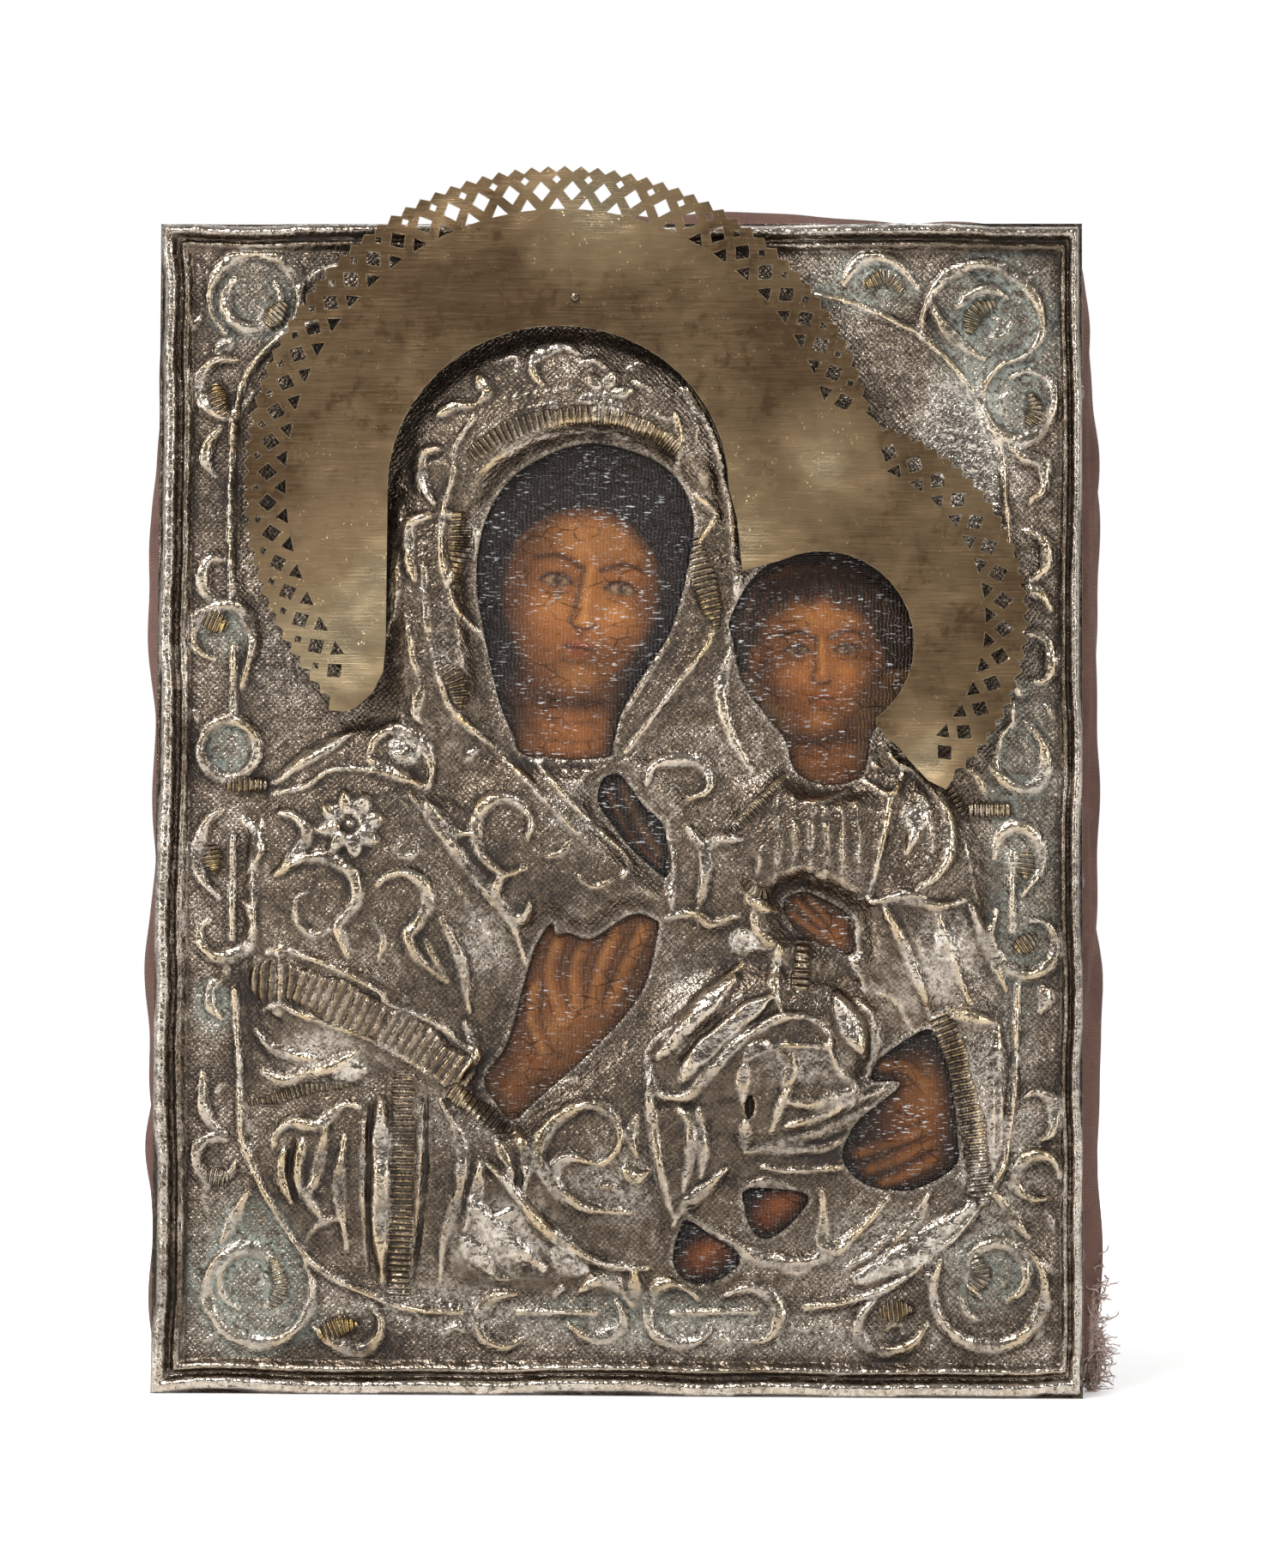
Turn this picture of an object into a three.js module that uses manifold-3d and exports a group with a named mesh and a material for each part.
// Devotional panel under a raised metal cover, with a pierced halo plate and a cloth-wrapped back.
//
// Millimetres, +Z up. The picture faces -Y.
// X = 0 is the middle of the width, Z = 0 the underside of the cover sheet,
// Y = 0 the front plane of the wooden panel.
import * as THREE from 'three';
import { mergeVertices } from 'three/addons/utils/BufferGeometryUtils.js';
import Module from 'manifold-3d';

const wasm = await Module();
wasm.setup();

// Wooden panel
const BOARD_WIDTH = 176.6;
const BOARD_HEIGHT = 224.6;
const BOARD_DEPTH = 20;
const PLANK_SEAM_X = 14;
const GROUND_THICKNESS = 1.6;

// Cross battens, dovetailed into the back
const BATTEN_FACE_WIDTH = 18;
const BATTEN_ROOT_WIDTH = 24;
const BATTEN_TAPER = 3;
const BATTEN_DEPTH = 7;
const BATTEN_INSET_Z = 42;

// Sheet metal and cloth
const SHEET = 0.5;
const CLOTH = 0.6;
const FIT = 0.3;
const SKIRT_DEPTH = 8;
const CLOTH_TUCK = 5;
const CLOTH_BULGE_RIGHT = 5.6;
const CLOTH_BULGE_LEFT = 3.6;
const CLOTH_BULGE_TOP = 4.2;
const CLOTH_SIDE_POINTS = 10;

// Raised work on the cover sheet
const MOULDING_WIDTH_LEFT = 6.6;
const MOULDING_WIDTH_RIGHT = 4.4;
const MOULDING_WIDTH_TOP = 5.6;
const MOULDING_WIDTH_BOTTOM = 6.8;
const MOULDING_RISE = 2;
const RELIEF_STEP = 8;
const RELIEF_SHOULDER = 5;
const RELIEF_LIMIT = 12;
const RIB_SINK = 0.1;
const RIB_KEEL = 3;
const RIB_STEP = 7;
const FIGURE_WIDTH = 180;
const FIGURE_HEIGHT = 228;

// Halo plate
const HALO_STANDOFF = 7.2;
const HALO_SHEET = 0.6;
const MOTHER_HALO = {
  x: -11.2, z: 176.6, tipRadius: 61.9, pitch: 6, firstTooth: 11.5, lastTooth: 223,
  firstDiamond: 16, diamonds: 35, smallDiamonds: true,
};
const CHILD_HALO = {
  x: 40, z: 150.1, tipRadius: 39.5, pitch: 9, firstTooth: -51, lastTooth: 72.8,
  firstDiamond: -48, diamonds: 14, smallDiamonds: false,
};
const TEETH_PER_PITCH = 2;
const TOOTH_DEPTH = 1.2;
const DIAMOND_RADIAL = 3.9;
const DIAMOND_ACROSS = 3.5;
const DIAMOND_INSET = 4.85;
const TRIANGLE_BASE = 3.2;
const TRIANGLE_HEIGHT = 2.3;
const TRIANGLE_INSET = 8.45;
const SMALL_DIAMOND = 1.7;
const SMALL_DIAMOND_INSET = 2.6;
const HALO_TAB_WIDTH = 3;
const HALO_TAB_LENGTH = 4;
const HALO_PIN_X = -8.6;
const HALO_PIN_HEIGHT = 212.7;
const HALO_PIN_LENGTH = 17;
const HALO_PIN_HEAD_RADIUS = 1;

// Nails
const NAIL_RADIUS = 0.6;
const NAIL_HEAD_RADIUS = 1.7;
const NAIL_HEAD_THICKNESS = 0.8;
const NAIL_LENGTH = 12;
const NAIL_SIDES = 8;
const NAIL_PLANE_Y = 5.5;
const SIDE_NAIL_HEIGHTS = [27, 100, 196];
const END_NAIL_X = 55;

// Hanger
const HANGER_INSET_Z = 21.3;
const HANGER_PLATE_WIDTH = 26;
const HANGER_PLATE_HEIGHT = 12;
const HANGER_PLATE_THICKNESS = 1;
const HANGER_NAIL_X = 9;
const EYE_BORE_RADIUS = 1.9;
const EYE_WALL = 1.3;
const EYE_LENGTH = 2.4;
const EYE_SINK = 0.4;
const EYE_SIDES = 16;
const RING_RADIUS = 8;
const RING_WIRE_RADIUS = 1;

// Sizes that follow from those above
const skirtClearance = FIT + CLOTH + FIT;
const coverWidth = BOARD_WIDTH + 2 * (skirtClearance + SHEET);
const coverHeight = BOARD_HEIGHT + 2 * (skirtClearance + SHEET);
const boardBottom = skirtClearance + SHEET;
const boardTop = boardBottom + BOARD_HEIGHT;
const fieldStandoff = GROUND_THICKNESS + FIT + SHEET;
const clothBack = BOARD_DEPTH + FIT + CLOTH;
const haloFront = HALO_STANDOFF + HALO_SHEET;
const figureScale = Math.min(coverWidth / FIGURE_WIDTH, coverHeight / FIGURE_HEIGHT);
const figureBase = (coverHeight - FIGURE_HEIGHT * figureScale) / 2;
const hangerZ = boardTop - HANGER_INSET_Z;
const plateBack = clothBack + FIT + HANGER_PLATE_THICKNESS;
const eyeOuterRadius = EYE_BORE_RADIUS + EYE_WALL;
const eyeY = plateBack + eyeOuterRadius - EYE_SINK;

const SILVER = { color: 0x8d8a86, roughness: 0.38, metalness: 0.95 };
const BRASS = { color: 0x7d6a45, roughness: 0.36, metalness: 0.95 };
const IRON = { color: 0x3c3835, roughness: 0.6, metalness: 0.8 };
const LIME_WOOD = { color: 0x8a6644, roughness: 0.8, metalness: 0 };
const OAK_WOOD = { color: 0x6f4f33, roughness: 0.75, metalness: 0 };
const PAINT = { color: 0x4a2a18, roughness: 0.35, metalness: 0 };
const COTTON = { color: 0x7a564c, roughness: 0.95, metalness: 0 };

const part = new THREE.Group();

/** Adds one named piece to the part. */
function addPiece(name, geometry, finish) {
  const mesh = new THREE.Mesh(geometry, new THREE.MeshStandardMaterial(finish));
  mesh.name = name;
  part.add(mesh);
}

/** Turns a closed geometry into a solid that can be joined and cut. */
function toSolid(geometry) {
  const bare = geometry.clone();
  bare.deleteAttribute('normal');
  bare.deleteAttribute('uv');
  const welded = mergeVertices(bare, 1e-4);
  return new wasm.Manifold(new wasm.Mesh({
    numProp: 3,
    vertProperties: new Float32Array(welded.attributes.position.array),
    triVerts: new Uint32Array(welded.index.array),
  }));
}

/** Turns a solid back into a geometry with flat faces. */
function toGeometry(solid) {
  const mesh = solid.getMesh();
  const geometry = new THREE.BufferGeometry();
  geometry.setAttribute('position', new THREE.BufferAttribute(mesh.vertProperties, 3));
  geometry.setIndex(new THREE.BufferAttribute(mesh.triVerts, 1));
  geometry.computeVertexNormals();
  return geometry;
}

/** Cuts every geometry of a list out of a solid. */
function cutAll(solid, cutters) {
  return cutters.reduce((rest, cutter) => rest.subtract(toSolid(cutter)), solid);
}

function box(x0, x1, y0, y1, z0, z1) {
  const geometry = new THREE.BoxGeometry(x1 - x0, y1 - y0, z1 - z0);
  return geometry.translate((x0 + x1) / 2, (y0 + y1) / 2, (z0 + z1) / 2);
}

function shapeOf(points) {
  return new THREE.Shape(points.map(([x, z]) => new THREE.Vector2(x, z)));
}

/** A plate whose outline is drawn in X and Z and whose thickness runs from y0 to y1. */
function plate(points, holes, y0, y1) {
  const shape = shapeOf(points);
  shape.holes = holes.map(shapeOf);
  const geometry = new THREE.ExtrudeGeometry(shape, { depth: y1 - y0, bevelEnabled: false });
  return geometry.rotateX(Math.PI / 2).translate(0, y1, 0);
}

/** A round bar along Y, from y0 to y1. */
function barAlongY(radius, x, y0, y1, z, sides = NAIL_SIDES) {
  const geometry = new THREE.CylinderGeometry(radius, radius, y1 - y0, sides);
  return geometry.translate(x, (y0 + y1) / 2, z);
}

/** A place drawn on the picture, moved to the cover that carries the picture. */
function onCover(x, z) {
  return [x * figureScale, figureBase + z * figureScale];
}

function raised(points) {
  return points.map(([x, z]) => onCover(x, z));
}

// Windows in the cover sheet, as [x, z] outlines on the figure
const MOTHER_FACE = [
  [-17.6, 123.8], [-2.5, 123.4], [-0.8, 126.5], [0.6, 131.8], [4, 138.2], [9.6, 147],
  [12.3, 155], [14, 163.5], [14.6, 170], [12.2, 176.6], [6.5, 181.8], [-4.4, 184.9],
  [-13.5, 182.9], [-21.5, 177.6], [-26.4, 169], [-27.8, 158.5], [-26.4, 148.4],
  [-23.6, 135.6], [-20.6, 128],
];
const THROAT_SLIT = [
  [-3.2, 119], [-1.4, 120.2], [0.6, 120], [5, 114.2], [9, 109.8], [9.8, 100.6], [8, 101],
  [3, 105.4], [-2, 111.6], [-3.9, 115],
];
const CHILD_HEAD_TOP = { x: 39.7, z: 146, radius: 18.6 };
const CHILD_HEAD_SIDES = [
  [51.6, 131.6], [49.3, 127.6], [48.4, 122.4], [46.8, 119.5], [41, 118.2], [36, 119.6],
  [33.7, 122.3], [32.4, 127], [28, 132.7], [24, 138.6], [22.2, 146.5],
];
const RIGHT_HAND = [
  [-12.6, 91.5], [-15.8, 87], [-18.3, 79], [-21.3, 68], [-25.6, 61.2], [-23.6, 56.4],
  [-20.3, 53], [-16, 56.5], [-4, 67.3], [4.8, 78], [7.9, 89.5], [7.3, 92], [2.5, 92.9],
  [-5, 88.3], [-9.5, 89.4], [-12, 89],
];
const LEFT_HAND = [
  [60.3, 71], [62.6, 67.8], [64.7, 61], [65.9, 51], [65.7, 44.8], [59, 40.5], [52.5, 39.8],
  [46.5, 42], [43.7, 46.6], [46.6, 53], [54.8, 60.2], [49.5, 61], [50.2, 64.3], [54.5, 68],
];
const CHILD_HAND = [
  [32.2, 95.4], [34.4, 97.1], [37.6, 97.2], [44.6, 93.3], [45.4, 90], [45.3, 85.4],
  [36, 89], [32.8, 92.5],
];
const UPPER_FOOT = [
  [25.5, 40], [36.8, 39], [34.5, 34], [29.6, 30.4], [26.4, 31.6], [24.8, 36.4],
];
const LOWER_FOOT = [
  [13.3, 33.6], [18, 31.3], [24, 27], [21.4, 23.2], [16.5, 21.6], [12.6, 22.9], [11, 27],
];

/** Points of an arc in degrees, both ends included. */
function arc(x, z, radiusX, radiusZ, from, to, steps) {
  return Array.from({ length: steps + 1 }, (_, step) => {
    const angle = THREE.MathUtils.degToRad(from + ((to - from) * step) / steps);
    return [x + radiusX * Math.cos(angle), z + radiusZ * Math.sin(angle)];
  });
}

function windowOutlines() {
  const { x, z, radius } = CHILD_HEAD_TOP;
  const childHead = [...arc(x, z, radius, radius, 165, -38, 14), ...CHILD_HEAD_SIDES];
  return [
    MOTHER_FACE, THROAT_SLIT, childHead, RIGHT_HAND, LEFT_HAND, CHILD_HAND, UPPER_FOOT,
    LOWER_FOOT,
  ].map(raised);
}

/** Distance from a point to a closed outline. */
function distanceTo(outline, x, z) {
  const point = new THREE.Vector3(x, 0, z);
  const nearest = new THREE.Vector3();
  return outline.reduce((least, [x0, z0], index) => {
    const [x1, z1] = outline[(index + 1) % outline.length];
    const side = new THREE.Line3(new THREE.Vector3(x0, 0, z0), new THREE.Vector3(x1, 0, z1));
    return Math.min(least, side.closestPointToPoint(point, true, nearest).distanceTo(point));
  }, Infinity);
}

// Edge moulding across its width: [share of the width from the edge, share of the rise]
const MOULDING_PROFILE = [
  [0, -0.2], [0.14, 0.75], [0.3, 1], [0.46, 0.7], [0.6, 0.15], [0.78, 0.62], [1, 0],
];

// Raised masses of the figures: centre, half width, half height and rise
const MASSES = [
  { name: 'veil crown', x: -10, z: 184, halfWidth: 31, halfHeight: 22, rise: 5 },
  { name: 'veil fall', x: -36, z: 150, halfWidth: 9, halfHeight: 32, rise: 3.8 },
  { name: 'right arm', x: -49, z: 92, halfWidth: 24, halfHeight: 37, rise: 4.4 },
  { name: 'breast', x: -9, z: 106, halfWidth: 26, halfHeight: 20, rise: 3.4 },
  { name: 'lower robe', x: -34, z: 46, halfWidth: 34, halfHeight: 24, rise: 3.8 },
  { name: 'child torso', x: 38, z: 102, halfWidth: 20, halfHeight: 20, rise: 4.4 },
  { name: 'child arm', x: 58, z: 96, halfWidth: 14, halfHeight: 22, rise: 4 },
  { name: 'child knees', x: 28, z: 66, halfWidth: 24, halfHeight: 17, rise: 4.8 },
  { name: 'left sleeve', x: 69, z: 60, halfWidth: 6, halfHeight: 22, rise: 3 },
  { name: 'lap', x: 0, z: 46, halfWidth: 22, halfHeight: 22, rise: 3 },
];

// Raised lines of the sheet, each tool with its half width, its rise and the lines that it follows
const RIBS = [
  {
    name: 'rim', half: 1.1, rise: 1.5, lines: [
      [[-75.6, 155], [-76, 172], [-75.5, 190]],
      [[-74.5, 78], [-73, 50], [-69, 40], [-62, 29], [-53, 21.5], [-42, 17], [-30, 16]],
      [[36.5, 17.3], [47, 19], [57, 23.8], [65, 30.5], [71, 38], [75.5, 47], [77.5, 79.5]],
      [[38, 214], [50, 210.5], [58.5, 206.3], [68, 196], [73, 187], [75, 175], [77, 158]],
    ],
  },
  {
    name: 'corner scrolls', half: 1.4, rise: 1.7, lines: [
      arc(-69, 20, 10.3, 10.3, 110, 395, 10),
      arc(-71, 22, 6, 6, -60, 250, 7),
      arc(72, 20.7, 10.8, 10.8, 150, 430, 10),
      arc(73.5, 24, 5.7, 5.7, -70, 240, 7),
      arc(-71.5, 213.5, 8.8, 8.8, -70, 230, 9),
      arc(-77, 196, 5.5, 5.5, 70, 350, 6),
      [[58.8, 206.5], [60.5, 214], [64, 218], [70, 220], [79, 216], [82, 208], [79, 202], [75, 200.5]],
      [[60.5, 213], [63, 208], [71, 201.5]],
      [[75, 201], [70.5, 193.5], [72.5, 188], [77, 185.5], [84.5, 192], [84, 197], [76.5, 198]],
      [[43.5, 216], [49, 221.5], [58, 215.5]],
    ],
  },
  {
    name: 'chains', half: 1.3, rise: 1.7, lines: [
      [[-77, 162], [-81.5, 159], [-80.5, 155.5], [-76, 153]],
      [[-73.5, 137], [-71.5, 147], [-78, 153], [-83.5, 147], [-79, 142.5]],
      arc(-76, 125, 5.6, 5.6, 0, 350, 8),
      [[-73, 111.5], [-77, 113], [-82, 104], [-77.5, 96]],
      [[-72.5, 95], [-71.3, 88], [-78, 84.5], [-81.3, 90]],
      [[78.5, 156.5], [84, 152.5], [79, 148], [84, 141], [78, 136], [75.5, 143]],
      arc(78, 124, 5.4, 6.4, 0, 350, 8),
      [[73, 104], [79.5, 109.5], [82.3, 103], [78.5, 97]],
      [[73.5, 94], [73.5, 85], [80.5, 81.5], [85, 88], [80, 92]],
      [[-18.5, 19.5], [-26, 16.5], [-25, 10.5], [-18.7, 10.5]],
      [[-9, 13.5], [-2.5, 11], [1.5, 15], [-1, 21.5], [-7, 20]],
      [[16, 18.5], [10, 21.8], [6.3, 16], [10, 10.3], [18.5, 13.5]],
      [[21, 19.5], [29, 20], [31, 13.5], [25, 10.5]],
    ],
  },
  {
    name: 'chain bars', half: 1, rise: 1.3, lines: [
      [[-75.2, 145], [-75.2, 131]], [[-75, 108], [-75, 90]], [[76.5, 105], [76.5, 92]],
      [[-19, 16], [-4, 16]], [[11, 16], [27, 16.5]],
    ],
  },
  {
    name: 'veil', half: 2.2, rise: 1.8, lines: [
      arc(-11.7, 175.7, 30, 28.4, 180, 0, 12),
      [[-41, 176], [-41.5, 155], [-41, 142]],
      [[18.3, 176], [18.8, 158], [18.5, 149], [5, 130], [0, 124.5]],
      [[-20, 120], [-5, 107], [1, 100.5]],
      [[-67, 118], [-55, 126.5], [-45, 129], [-37, 119]],
    ],
  },
  {
    name: 'folds', half: 1.3, rise: 1.5, lines: [
      [[-32, 104], [-21, 90.5], [-18.5, 83]],
      [[-63, 102], [-53, 101], [-50.8, 96], [-53, 90]],
      [[-45, 97.5], [-40, 99.8], [-37, 95], [-39, 84], [-34, 79]],
      [[-66.5, 48], [-58, 52], [-49.5, 55.5]],
      [[-34, 57], [-30, 40], [-34, 22]],
      [[3, 35.5], [-10, 38.5], [-15, 47], [-10, 54.3], [-1, 54.5], [0.2, 47.5], [-5, 45.2]],
      [[-25, 45], [-15, 33.5], [-4, 26], [6, 24.5]],
      [[6, 62], [8, 48], [10, 38]],
      [[30, 71], [40, 69], [43.5, 62.5], [48, 62], [50, 70], [47, 75]],
      [[55, 120], [51, 108], [48, 95.5]],
      [[60, 118], [64.5, 106], [61, 98.5]],
      [[51, 94], [58, 78], [59.5, 73.5]],
      [[61, 93], [67, 77], [70, 75]],
      [[66, 95], [72, 83], [75, 78]],
    ],
  },
  {
    name: 'tubes', half: 2.6, rise: 2.1, lines: [
      [[-45.5, 57], [-45.2, 22]],
      [[5.5, 66], [10, 71], [17, 78], [24, 83]],
      [[13, 60], [19, 69], [30, 77]],
      [[47, 22], [55, 25], [65, 34]],
    ],
  },
  {
    name: 'bands', half: 3.9, rise: 1.4, lines: [
      [[-68, 79.2], [-54, 75], [-38, 64.8], [-33.5, 60.5]],
      [[69, 72], [70, 40]],
    ],
  },
];

function mouldingShare(distance, width) {
  const t = Math.min(distance / width, 1);
  const after = MOULDING_PROFILE.findIndex(([share]) => share >= t);
  const [t1, h1] = MOULDING_PROFILE[Math.max(after, 0)];
  const [t0, h0] = MOULDING_PROFILE[Math.max(after - 1, 0)];
  return t1 > t0 ? h0 + ((h1 - h0) * (t - t0)) / (t1 - t0) : h1;
}

/** Share of the moulding's rise at a point, mitred at the corners. */
function mouldingAt(x, z) {
  const edges = [
    [x + coverWidth / 2, MOULDING_WIDTH_LEFT],
    [coverWidth / 2 - x, MOULDING_WIDTH_RIGHT],
    [z, MOULDING_WIDTH_BOTTOM],
    [coverHeight - z, MOULDING_WIDTH_TOP],
  ];
  const [distance, width] = edges.reduce((a, b) => (a[0] / a[1] <= b[0] / b[1] ? a : b));
  return mouldingShare(distance, width);
}

/** Height of the raised figures over the field, brought down to the field at each window. */
function figureRise(x, z, windows) {
  const height = MASSES.reduce((highest, mass) => {
    const [massX, massZ] = onCover(mass.x, mass.z);
    const across = (x - massX) / (mass.halfWidth * figureScale);
    const up = (z - massZ) / (mass.halfHeight * figureScale);
    const inside = 1 - across * across - up * up;
    return inside > 0 ? Math.max(highest, mass.rise * Math.sqrt(inside)) : highest;
  }, 0);
  const clear = Math.min(...windows.map((outline) => distanceTo(outline, x, z)));
  return height * THREE.MathUtils.smoothstep(clear, 0, RELIEF_SHOULDER);
}

/** Grid lines over a length: one for each point of the moulding at both ends, even steps between. */
function gridLines(start, length, widthLow, widthHigh) {
  const low = MOULDING_PROFILE.map(([share]) => start + share * widthLow);
  const high = MOULDING_PROFILE.map(([share]) => start + length - share * widthHigh).reverse();
  const inner = high[0] - low[low.length - 1];
  const count = Math.round(inner / RELIEF_STEP);
  const between = Array.from({ length: count - 1 }, (_, k) => (
    low[low.length - 1] + (inner * (k + 1)) / count
  ));
  return [...low, ...between, ...high];
}

/** A closed block whose front follows depths[row][column] and whose back is flat at yBack. */
function reliefBlock(columns, rows, depths, yBack) {
  const positions = [];
  const faces = [];
  const place = (column, row, side) => (side * rows.length + row) * columns.length + column;
  for (const side of [0, 1]) {
    rows.forEach((z, row) => columns.forEach((x, column) => {
      positions.push(x, side === 0 ? depths[row][column] : yBack, z);
    }));
  }
  const quad = (a, b, c, d) => faces.push(a, b, c, a, c, d);
  const lastColumn = columns.length - 1;
  const lastRow = rows.length - 1;
  for (let row = 0; row < lastRow; row += 1) {
    for (let column = 0; column < lastColumn; column += 1) {
      quad(place(column, row, 0), place(column + 1, row, 0), place(column + 1, row + 1, 0),
        place(column, row + 1, 0));
      quad(place(column, row, 1), place(column, row + 1, 1), place(column + 1, row + 1, 1),
        place(column + 1, row, 1));
    }
    quad(place(0, row, 0), place(0, row + 1, 0), place(0, row + 1, 1), place(0, row, 1));
    quad(place(lastColumn, row, 0), place(lastColumn, row, 1), place(lastColumn, row + 1, 1),
      place(lastColumn, row + 1, 0));
  }
  for (let column = 0; column < lastColumn; column += 1) {
    quad(place(column, 0, 0), place(column, 0, 1), place(column + 1, 0, 1),
      place(column + 1, 0, 0));
    quad(place(column, lastRow, 0), place(column + 1, lastRow, 0),
      place(column + 1, lastRow, 1), place(column, lastRow, 1));
  }
  const geometry = new THREE.BufferGeometry();
  geometry.setAttribute('position', new THREE.Float32BufferAttribute(positions, 3));
  geometry.setIndex(faces);
  return geometry;
}

/** Depth of the sheet's front, on its own facets, at a point. */
function facetDepth(columns, rows, depths, x, z) {
  const cellOf = (lines, at) => Math.min(
    Math.max(lines.findIndex((line) => line > at) - 1, 0), lines.length - 2,
  );
  const [column, row] = [cellOf(columns, x), cellOf(rows, z)];
  const across = (x - columns[column]) / (columns[column + 1] - columns[column]);
  const up = (z - rows[row]) / (rows[row + 1] - rows[row]);
  const near = depths[row][column];
  const far = depths[row + 1][column + 1];
  return across >= up
    ? near + (depths[row][column + 1] - near) * across + (far - depths[row][column + 1]) * up
    : near + (depths[row + 1][column] - near) * up + (far - depths[row + 1][column]) * across;
}

/** Points along a line, none further apart than RIB_STEP. */
function alongLine(line) {
  return line.flatMap(([x, z], index) => {
    if (index === line.length - 1) return [[x, z]];
    const [nextX, nextZ] = line[index + 1];
    const count = Math.ceil(Math.hypot(nextX - x, nextZ - z) / RIB_STEP);
    return Array.from({ length: count }, (_, k) => [
      x + ((nextX - x) * k) / count, z + ((nextZ - z) * k) / count,
    ]);
  });
}

/** A raised line: two feet at the sheet's face, a crest between them and a keel that sinks into the block. */
function rib(line, half, rise, depthAt) {
  const points = alongLine(line).map(([x, z]) => onCover(x, z));
  const last = points.length - 1;
  const positions = [];
  points.forEach(([x, z], index) => {
    const [aheadX, aheadZ] = points[Math.min(index + 1, last)];
    const [behindX, behindZ] = points[Math.max(index - 1, 0)];
    const length = Math.hypot(aheadX - behindX, aheadZ - behindZ);
    const [sideX, sideZ] = [
      ((behindZ - aheadZ) / length) * half, ((aheadX - behindX) / length) * half,
    ];
    positions.push(x + sideX, depthAt(x + sideX, z + sideZ) + RIB_SINK, z + sideZ);
    positions.push(x, depthAt(x, z) - rise, z);
    positions.push(x - sideX, depthAt(x - sideX, z - sideZ) + RIB_SINK, z - sideZ);
    positions.push(x, depthAt(x, z) + RIB_KEEL, z);
  });
  const end = 4 * last;
  const faces = [0, 3, 1, 1, 3, 2, end, end + 1, end + 3, end + 1, end + 2, end + 3];
  for (let start = 0; start < end; start += 4) {
    for (const [a, b] of [[0, 1], [1, 2], [2, 3], [3, 0]]) {
      faces.push(start + a, start + b, start + b + 4, start + a, start + b + 4, start + a + 4);
    }
  }
  const geometry = new THREE.BufferGeometry();
  geometry.setAttribute('position', new THREE.Float32BufferAttribute(positions, 3));
  geometry.setIndex(faces);
  return geometry;
}

function insetEnds(lines, amount) {
  const last = lines.length - 1;
  return lines.map((value, index) => {
    if (index === 0) return value + amount;
    return index === last ? value - amount : value;
  });
}

/** Nails through the folded edges: where each enters and the way it is driven. */
function edgeNails() {
  const sides = SIDE_NAIL_HEIGHTS.flatMap((height, index) => {
    const [, z] = onCover(0, height);
    return [
      { name: `left_nail_${index + 1}`, x: -coverWidth / 2, z, into: [1, 0] },
      { name: `right_nail_${index + 1}`, x: coverWidth / 2, z, into: [-1, 0] },
    ];
  });
  const ends = [-1, 1].flatMap((side) => {
    const hand = side < 0 ? 'left' : 'right';
    const [x] = onCover(side * END_NAIL_X, 0);
    return [
      { name: `top_nail_${hand}`, x, z: coverHeight, into: [0, -1] },
      { name: `bottom_brad_${hand}`, x, z: 0, into: [0, 1], headless: true },
    ];
  });
  return [...sides, ...ends];
}

/** Turns a piece made along +Y so that +Y points out of the panel's edge, and sets it there. */
function setOnEdge(geometry, nail) {
  const outward = new THREE.Vector3(-nail.into[0], 0, -nail.into[1]);
  const turn = new THREE.Quaternion().setFromUnitVectors(new THREE.Vector3(0, 1, 0), outward);
  return geometry.applyQuaternion(turn).translate(nail.x, NAIL_PLANE_Y, nail.z);
}

/** A nail with a low domed head, made along Y with the underside of its head at y = seat. */
function nailAlongY(seat, headRadius, headThickness, length) {
  const profile = [
    [0, seat - length], [NAIL_RADIUS, seat - length + 2 * NAIL_RADIUS], [NAIL_RADIUS, seat],
    [headRadius, seat], [headRadius * 0.75, seat + headThickness * 0.7],
    [0, seat + headThickness],
  ].map(([radius, y]) => new THREE.Vector2(radius, y));
  return new THREE.LatheGeometry(profile, NAIL_SIDES);
}

function edgeNailHoles(radius) {
  return edgeNails().map((nail) => setOnEdge(
    new THREE.CylinderGeometry(radius, radius, 2 * NAIL_LENGTH + 2, NAIL_SIDES), nail,
  ));
}

const [haloPinX, haloPinZ] = onCover(HALO_PIN_X, HALO_PIN_HEIGHT);
const hangerNails = [-HANGER_NAIL_X, HANGER_NAIL_X].map((x) => ({ x, z: hangerZ }));
const holeRadius = NAIL_RADIUS + FIT;

function pinHole() {
  const deepest = HALO_PIN_LENGTH - haloFront;
  return barAlongY(holeRadius, haloPinX, -haloFront - 1, deepest + FIT, haloPinZ);
}

function hangerNailHoles() {
  const tip = plateBack - NAIL_LENGTH;
  return hangerNails.map(({ x, z }) => barAlongY(holeRadius, x, tip - FIT, plateBack + 1, z));
}

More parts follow.
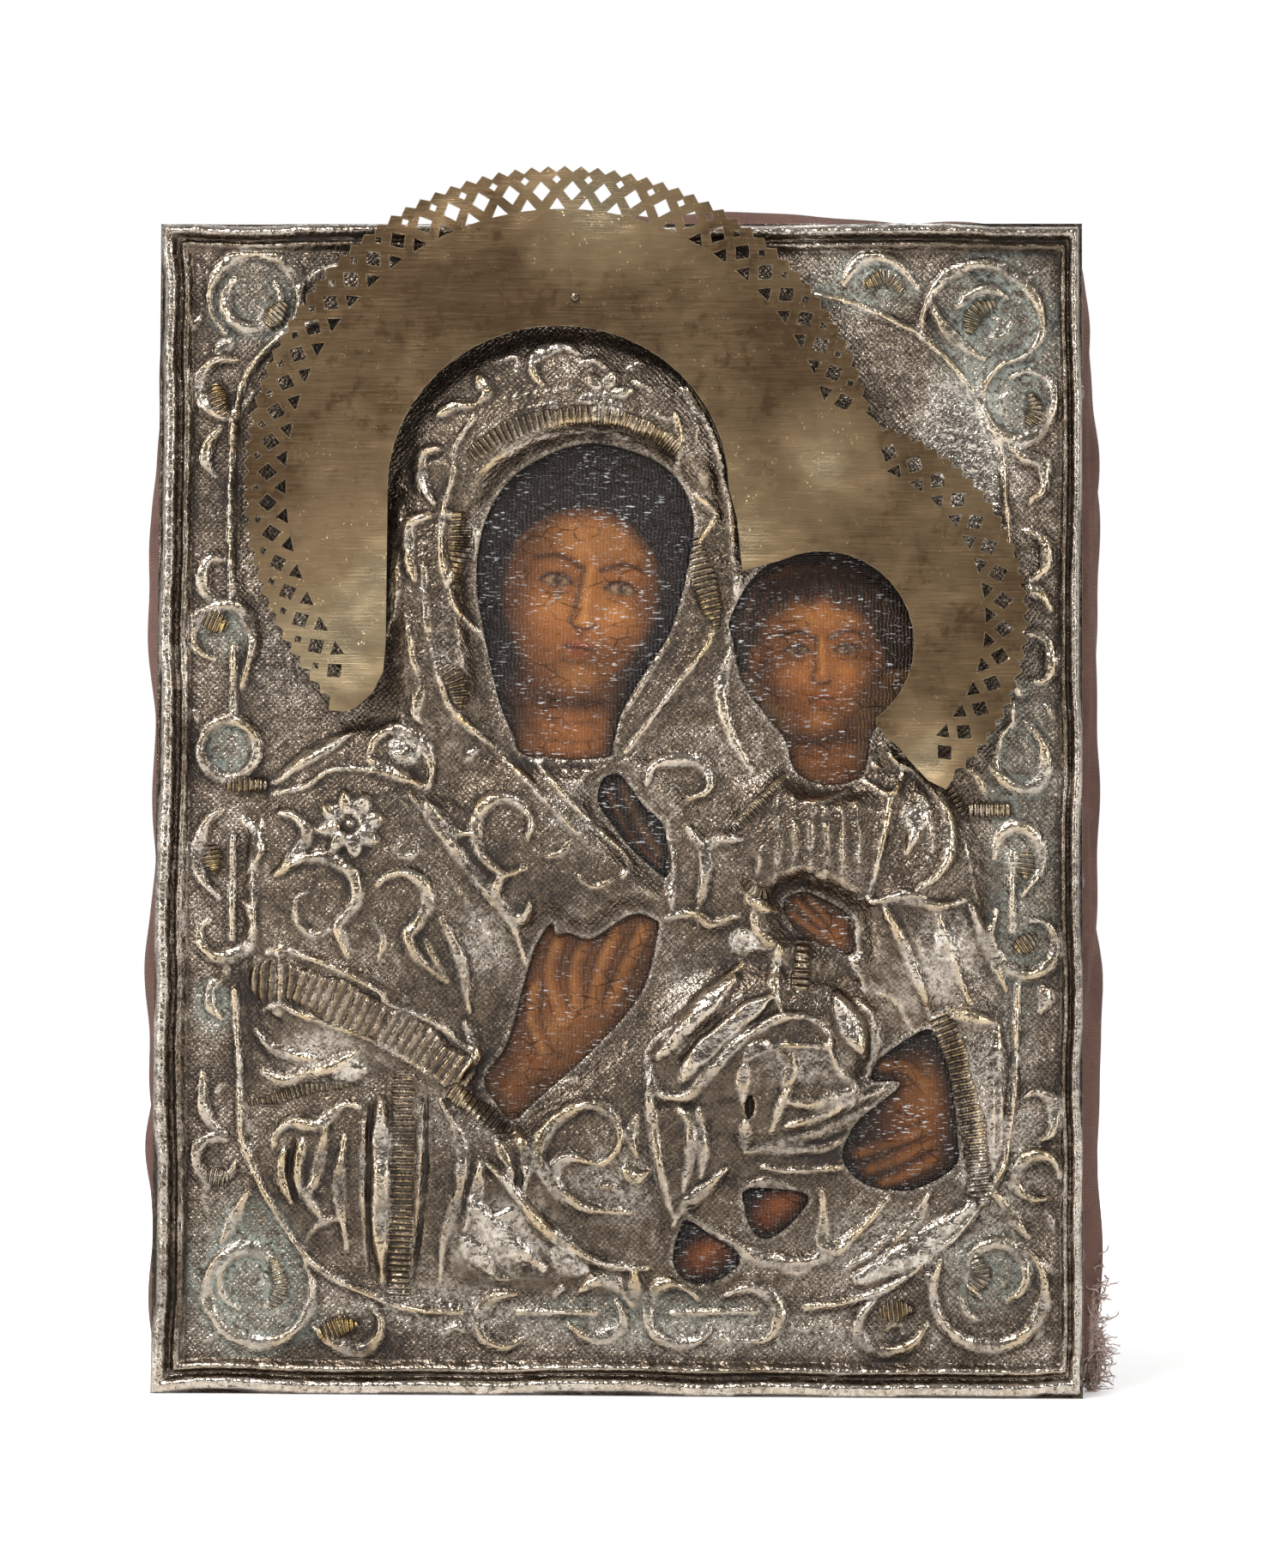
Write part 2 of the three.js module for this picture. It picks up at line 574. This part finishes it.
/** A dovetail bar along X that narrows to the right, grown on every side by a clearance. */
function dovetail(x0, x1, z, clearance) {
  const section = (x, narrowing) => {
    const root = (BATTEN_ROOT_WIDTH - narrowing) / 2 + clearance;
    const face = (BATTEN_FACE_WIDTH - narrowing) / 2 + clearance;
    const inner = BOARD_DEPTH - BATTEN_DEPTH - clearance;
    const outer = BOARD_DEPTH + (clearance > 0 ? 1 : 0);
    return [[x, inner, z - root], [x, outer, z - face], [x, outer, z + face], [x, inner, z + root]];
  };
  const positions = [...section(x0, 0), ...section(x1, BATTEN_TAPER)].flat();
  const faces = [
    0, 1, 2, 0, 2, 3, 4, 6, 5, 4, 7, 6, 0, 4, 5, 0, 5, 1, 1, 5, 6, 1, 6, 2, 2, 6, 7, 2, 7, 3,
    3, 7, 4, 3, 4, 0,
  ];
  const geometry = new THREE.BufferGeometry();
  geometry.setAttribute('position', new THREE.Float32BufferAttribute(positions, 3));
  geometry.setIndex(faces.reverse());
  return geometry;
}

function addBoard() {
  const half = BOARD_WIDTH / 2;
  const battens = [
    ['lower_batten', boardBottom + BATTEN_INSET_Z],
    ['upper_batten', boardTop - BATTEN_INSET_Z],
  ];
  const cutters = [
    ...battens.map(([, z]) => dovetail(-half - 1, half + 1, z, FIT)),
    ...edgeNailHoles(holeRadius), pinHole(), ...hangerNailHoles(),
  ];
  const planks = [
    ['board_left_plank', -half, PLANK_SEAM_X],
    ['board_right_plank', PLANK_SEAM_X, half],
  ];
  for (const [name, x0, x1] of planks) {
    const blank = toSolid(box(x0, x1, 0, BOARD_DEPTH, boardBottom, boardTop));
    addPiece(name, toGeometry(cutAll(blank, cutters)), LIME_WOOD);
  }
  for (const [name, z] of battens) {
    addPiece(name, dovetail(-half, half, z, 0), OAK_WOOD);
  }
}

function addPaintedGround() {
  const half = BOARD_WIDTH / 2;
  const layer = toSolid(box(-half, half, -GROUND_THICKNESS, 0, boardBottom, boardTop));
  addPiece('painted_ground', toGeometry(cutAll(layer, [pinHole()])), PAINT);
}

function addCoverSheet() {
  const windows = windowOutlines();
  const columns = gridLines(
    -coverWidth / 2, coverWidth, MOULDING_WIDTH_LEFT, MOULDING_WIDTH_RIGHT,
  );
  const rows = gridLines(0, coverHeight, MOULDING_WIDTH_BOTTOM, MOULDING_WIDTH_TOP);
  const front = rows.map((z) => columns.map((x) => (
    -(fieldStandoff + MOULDING_RISE * mouldingAt(x, z) + figureRise(x, z, windows))
  )));
  const back = front.map((row) => row.map((y) => y + SHEET));
  const depthAt = (x, z) => facetDepth(columns, rows, front, x, z);
  const ribs = RIBS.flatMap(({ half, rise, lines }) => (
    lines.map((line) => toSolid(rib(line, half, rise, depthAt)))
  ));
  const block = ribs.reduce(
    (solid, added) => solid.add(added), toSolid(reliefBlock(columns, rows, front, SKIRT_DEPTH)),
  );
  const hollow = reliefBlock(
    insetEnds(columns, SHEET), insetEnds(rows, SHEET), back, SKIRT_DEPTH + 1,
  );
  const cutters = [
    hollow,
    ...windows.map((outline) => plate(outline, [], -RELIEF_LIMIT, 0)),
    ...edgeNailHoles(holeRadius),
    pinHole(),
  ];
  addPiece('cover_sheet', toGeometry(cutAll(block, cutters)), SILVER);
}

/** The toothed edge of a halo: a tip and a root by turns. */
function teeth(halo) {
  const step = halo.pitch / (2 * TEETH_PER_PITCH);
  const count = Math.round((halo.lastTooth - halo.firstTooth) / step);
  return Array.from({ length: count + 1 }, (_, index) => {
    const angle = THREE.MathUtils.degToRad(halo.firstTooth + index * step);
    const radius = halo.tipRadius - (index % 2 === 0 ? 0 : TOOTH_DEPTH);
    return [halo.x + radius * Math.cos(angle), halo.z + radius * Math.sin(angle)];
  });
}

/** Moves an outline drawn as [along the radius, across] to a place on a halo's arc. */
function onArc(halo, inset, angle, outline) {
  const turn = THREE.MathUtils.degToRad(angle);
  const radius = halo.tipRadius - inset;
  return outline.map(([radial, across]) => [
    halo.x + (radius + radial) * Math.cos(turn) - across * Math.sin(turn),
    halo.z + (radius + radial) * Math.sin(turn) + across * Math.cos(turn),
  ]);
}

function diamond(radial, across) {
  return [[-radial / 2, 0], [0, across / 2], [radial / 2, 0], [0, -across / 2]];
}

const TRIANGLE = [[TRIANGLE_HEIGHT, 0], [0, -TRIANGLE_BASE / 2], [0, TRIANGLE_BASE / 2]];

/** Pierced openings along a halo: diamonds, triangles between them and small diamonds outside. */
function piercings(halo) {
  const holes = [];
  for (let index = 0; index < halo.diamonds; index += 1) {
    const angle = halo.firstDiamond + index * halo.pitch;
    const between = angle + halo.pitch / 2;
    holes.push(onArc(halo, DIAMOND_INSET, angle, diamond(DIAMOND_RADIAL, DIAMOND_ACROSS)));
    if (index < halo.diamonds - 1) {
      holes.push(onArc(halo, TRIANGLE_INSET, between, TRIANGLE));
    }
    if (index < halo.diamonds - 1 && halo.smallDiamonds) {
      const small = diamond(SMALL_DIAMOND, SMALL_DIAMOND);
      holes.push(onArc(halo, SMALL_DIAMOND_INSET, between, small));
    }
  }
  return holes;
}

// Free edges of the halo plate, between its toothed arcs. The two lower ends are drawn as
// [distance inside the tips, angle] on the arc that each one ends.
const HALO_LOWER_LEFT = [
  [-1.03, 224.7], [0.77, 226.9], [2.85, 228],
  [7.36, 228.4], [11.45, 227.2], [15.63, 223.1],
];
const HALO_VEIL_ARCH = { x: -11.7, z: 175.7, radiusX: 33.1, radiusZ: 31.5 };
const HALO_MIDDLE_TIP = [[23, 169.8], [24.1, 159.4]];
const HALO_CHILD_ARC = { x: 39.4, z: 145.4, radius: 17.9 };
const HALO_LOWER_RIGHT = [
  [16.96, -63.7], [13.74, -62.7], [11.73, -60.2],
  [7.79, -59.1], [2.44, -57.3], [-0.93, -54.5],
];

function haloPlate() {
  const arch = HALO_VEIL_ARCH;
  const child = HALO_CHILD_ARC;
  const outline = [
    ...teeth(MOTHER_HALO),
    ...HALO_LOWER_LEFT.map(([inset, angle]) => onArc(MOTHER_HALO, inset, angle, [[0, 0]])[0]),
    ...arc(arch.x, arch.z, arch.radiusX, arch.radiusZ, 180, 0, 24),
    ...HALO_MIDDLE_TIP,
    ...arc(child.x, child.z, child.radius, child.radius, 116, -54, 16),
    ...HALO_LOWER_RIGHT.map(([inset, angle]) => onArc(CHILD_HALO, inset, angle, [[0, 0]])[0]),
    ...teeth(CHILD_HALO),
  ];
  const holes = [...piercings(MOTHER_HALO), ...piercings(CHILD_HALO)];
  return plate(raised(outline), holes.map(raised), -haloFront, -HALO_STANDOFF);
}

// Middles of the hidden tabs that carry the halo plate
const HALO_TABS = [[-55, 168], [-38, 212], [24, 208], [62, 158]];

function addHalo() {
  addPiece('halo_plate', toGeometry(toSolid(haloPlate()).subtract(toSolid(pinHole()))), BRASS);
  const foot = -fieldStandoff;
  const head = -HALO_STANDOFF;
  HALO_TABS.forEach(([x, z], index) => {
    const profile = [
      [0, foot], [0, head], [HALO_TAB_LENGTH, head], [HALO_TAB_LENGTH, head + SHEET],
      [SHEET, head + SHEET], [SHEET, foot - SHEET], [HALO_TAB_LENGTH, foot - SHEET],
      [HALO_TAB_LENGTH, foot],
    ].map(([across, y]) => new THREE.Vector2(across, y));
    const tab = new THREE.ExtrudeGeometry(new THREE.Shape(profile), {
      depth: HALO_TAB_WIDTH, bevelEnabled: false,
    });
    const [tabX, tabZ] = onCover(x, z);
    tab.translate(tabX - HALO_TAB_LENGTH / 2, 0, tabZ - HALO_TAB_WIDTH / 2);
    addPiece(`halo_tab_${index + 1}`, tab, BRASS);
  });
  const pin = nailAlongY(haloFront, HALO_PIN_HEAD_RADIUS, NAIL_HEAD_THICKNESS, HALO_PIN_LENGTH);
  pin.rotateX(Math.PI);
  addPiece('halo_pin', pin.translate(haloPinX, 0, haloPinZ), SILVER);
}

function addEdgeNails() {
  for (const nail of edgeNails()) {
    const piece = nail.headless
      ? new THREE.CylinderGeometry(NAIL_RADIUS, NAIL_RADIUS, NAIL_LENGTH, NAIL_SIDES)
        .translate(0, -NAIL_LENGTH / 2 - FIT, 0)
      : nailAlongY(FIT, NAIL_HEAD_RADIUS, NAIL_HEAD_THICKNESS, NAIL_LENGTH);
    addPiece(nail.name, setOnEdge(piece, nail), IRON);
  }
}

/** A share that rises from 0 at both ends of a length to 1 over most of its middle. */
function swell(t) {
  return THREE.MathUtils.smoothstep(t, 0, 0.16) * (1 - THREE.MathUtils.smoothstep(t, 0.84, 1));
}

/** The cloth's outline at one depth: flat below, swelling out at the sides and the top. */
function clothOutline(fullness, inset, lowest) {
  const halfWidth = coverWidth / 2 - SHEET - FIT;
  const bottom = lowest + inset;
  const top = coverHeight - SHEET - FIT;
  const steps = CLOTH_SIDE_POINTS;
  const points = [];
  const along = (index) => index / steps;
  for (let index = 0; index < steps; index += 1) {
    const t = along(index);
    const wave = 1 + 0.12 * Math.sin(7 * t);
    const out = CLOTH_BULGE_RIGHT * fullness * swell(t) * wave;
    points.push([halfWidth - inset + out, bottom + (top - inset - bottom) * t]);
  }
  for (let index = 0; index < steps; index += 1) {
    const t = along(index);
    const out = CLOTH_BULGE_TOP * fullness * swell(t) * (1 - 0.25 * t);
    points.push([(halfWidth - inset) * (1 - 2 * t), top - inset + out]);
  }
  for (let index = 0; index < steps; index += 1) {
    const t = 1 - along(index);
    const wave = 1 + 0.15 * Math.sin(9 * t);
    const out = CLOTH_BULGE_LEFT * fullness * swell(t) * wave;
    points.push([inset - halfWidth - out, bottom + (top - inset - bottom) * t]);
  }
  points.push([inset - halfWidth, bottom]);
  return points;
}

/** A closed solid through outlines of equal length, given as { y, points } from front to back. */
function loft(levels) {
  const count = levels[0].points.length;
  const positions = levels.flatMap(({ y, points }) => points.flatMap(([x, z]) => [x, y, z]));
  const faces = [];
  for (let level = 0; level < levels.length - 1; level += 1) {
    for (let index = 0; index < count; index += 1) {
      const a = level * count + index;
      const b = level * count + ((index + 1) % count);
      faces.push(a, a + count, b, b, a + count, b + count);
    }
  }
  const contour = (level) => level.points.map(([x, z]) => new THREE.Vector2(x, z));
  const last = (levels.length - 1) * count;
  for (const [a, b, c] of THREE.ShapeUtils.triangulateShape(contour(levels[0]), [])) {
    faces.push(a, b, c);
  }
  for (const [a, b, c] of THREE.ShapeUtils.triangulateShape(contour(levels.at(-1)), [])) {
    faces.push(last + a, last + c, last + b);
  }
  const geometry = new THREE.BufferGeometry();
  geometry.setAttribute('position', new THREE.Float32BufferAttribute(positions, 3));
  geometry.setIndex(faces);
  return geometry;
}

// How full the cloth stands at each depth behind the folded edge: [share of the depth, fullness]
const CLOTH_FULLNESS = [[0, 0.1], [0.22, 0.8], [0.5, 1], [0.78, 0.8], [1, 0.1]];

function clothLevels(inset, front, back) {
  const behindSkirt = SKIRT_DEPTH + FIT;
  const tucked = { y: front, points: clothOutline(0, inset, SHEET + FIT) };
  const atSkirt = { y: behindSkirt, points: clothOutline(0, inset, SHEET + FIT) };
  const behind = CLOTH_FULLNESS.map(([share, fullness], index) => ({
    y: behindSkirt + (index === 0 ? FIT : share * (back - behindSkirt)),
    points: clothOutline(fullness, inset, 0),
  }));
  return [tucked, atSkirt, ...behind];
}

function addBackCloth() {
  const front = SKIRT_DEPTH - CLOTH_TUCK;
  const outside = toSolid(loft(clothLevels(0, front, clothBack)));
  const inside = loft(clothLevels(CLOTH, front - 1, clothBack - CLOTH));
  const cutters = [inside, ...edgeNailHoles(holeRadius), ...hangerNailHoles()];
  addPiece('back_cloth', toGeometry(cutAll(outside, cutters)), COTTON);
}

function addHanger() {
  const halfWidth = HANGER_PLATE_WIDTH / 2;
  const halfHeight = HANGER_PLATE_HEIGHT / 2;
  const outline = [
    [-halfWidth, 0], [-halfWidth * 0.8, -halfHeight], [halfWidth * 0.8, -halfHeight],
    [halfWidth, 0], [halfWidth * 0.8, halfHeight], [-halfWidth * 0.8, halfHeight],
  ].map(([x, z]) => [x, z + hangerZ]);
  const backing = toSolid(plate(outline, [], clothBack + FIT, plateBack));
  const along = (radius, length) => new THREE.CylinderGeometry(radius, radius, length, EYE_SIDES)
    .rotateZ(Math.PI / 2).translate(0, eyeY, hangerZ);
  const eye = toSolid(along(eyeOuterRadius, EYE_LENGTH));
  const bore = toSolid(along(EYE_BORE_RADIUS, EYE_LENGTH + 2));
  const solid = cutAll(backing.add(eye).subtract(bore), hangerNailHoles());
  addPiece('hanger_plate', toGeometry(solid), IRON);
  hangerNails.forEach(({ x, z }, index) => {
    const nail = nailAlongY(plateBack, NAIL_HEAD_RADIUS, NAIL_HEAD_THICKNESS, NAIL_LENGTH);
    addPiece(index === 0 ? 'hanger_nail_left' : 'hanger_nail_right', nail.translate(x, 0, z), IRON);
  });
  const ring = new THREE.TorusGeometry(RING_RADIUS, RING_WIRE_RADIUS, 8, 28)
    .rotateX(Math.PI / 2).translate(0, eyeY, hangerZ - RING_RADIUS);
  addPiece('hanging_ring', toGeometry(toSolid(ring)), IRON);
}

addBoard();
addPaintedGround();
addCoverSheet();
addHalo();
addEdgeNails();
addBackCloth();
addHanger();

export default part;
